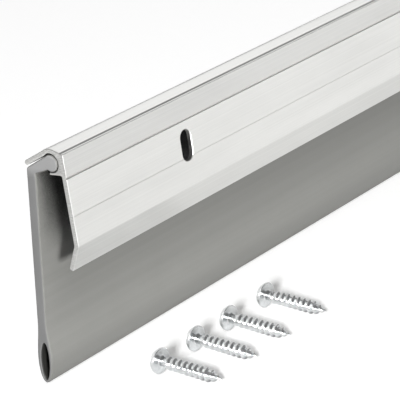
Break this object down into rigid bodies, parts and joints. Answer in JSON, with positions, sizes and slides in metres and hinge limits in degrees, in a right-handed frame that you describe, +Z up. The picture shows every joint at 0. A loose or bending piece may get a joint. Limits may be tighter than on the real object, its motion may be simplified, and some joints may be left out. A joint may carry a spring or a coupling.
{
  "type": "door sweep",
  "caption": "Aluminium door sweep strip with a slotted screw plate, a bead socket and a hinged vinyl seal with a hollow foot, and loose pan-head screws.",
  "frame": {"origin": "on the carrier's flat door face, mid-length, at the height of the slot centres", "axes": "+X along the strip, with the screws at the -X end; +Y out of the door face's back, towards the seal; +Z up"},
  "size_m": [0.9144, 0.0466, 0.0627],
  "materials": {
    "aluminium": "mill finish with fine lengthwise die lines",
    "vinyl": "satin flexible grey vinyl",
    "zinc_steel": "bright zinc plate"
  },
  "bodies": {
    "carrier": {"carrier": "aluminium"},
    "seal": {"seal_hinge": "vinyl"},
    "blade": {"seal_blade": "vinyl"},
    "screw_body_1": {"screw_1": "zinc_steel"},
    "screw_body_2": {"screw_2": "zinc_steel"},
    "screw_body_3": {"screw_3": "zinc_steel"},
    "screw_body_4": {"screw_4": "zinc_steel"}
  },
  "joints": [
    {"name": "seal_swing", "type": "hinge", "parent": "carrier", "child": "seal", "pos_m": [0, 0.00445, 0.00995], "axis": [1, 0, 0], "range_deg": [-19, 2]},
    {"name": "blade_flex", "type": "hinge", "parent": "seal", "child": "blade", "pos_m": [0, 0.01543, -0.02027], "axis": [1, 0, 0], "range_deg": [-45, 60], "stiffness_Nm_per_rad": 0.6},
    {"name": "screw_1_turn", "type": "hinge", "parent": "carrier", "child": "screw_body_1", "pos_m": [-0.4425, -0.0067, -0.04557], "axis": [0, 0.9935, 0.1137], "continuous": true},
    {"name": "screw_2_turn", "type": "hinge", "parent": "carrier", "child": "screw_body_2", "pos_m": [-0.4282, -0.0067, -0.04557], "axis": [0, 0.9935, 0.1137], "continuous": true},
    {"name": "screw_3_turn", "type": "hinge", "parent": "carrier", "child": "screw_body_3", "pos_m": [-0.4144, -0.0067, -0.04557], "axis": [0, 0.9935, 0.1137], "continuous": true},
    {"name": "screw_4_turn", "type": "hinge", "parent": "carrier", "child": "screw_body_4", "pos_m": [-0.3985, -0.0067, -0.04557], "axis": [0, 0.9935, 0.1137], "continuous": true}
  ]
}
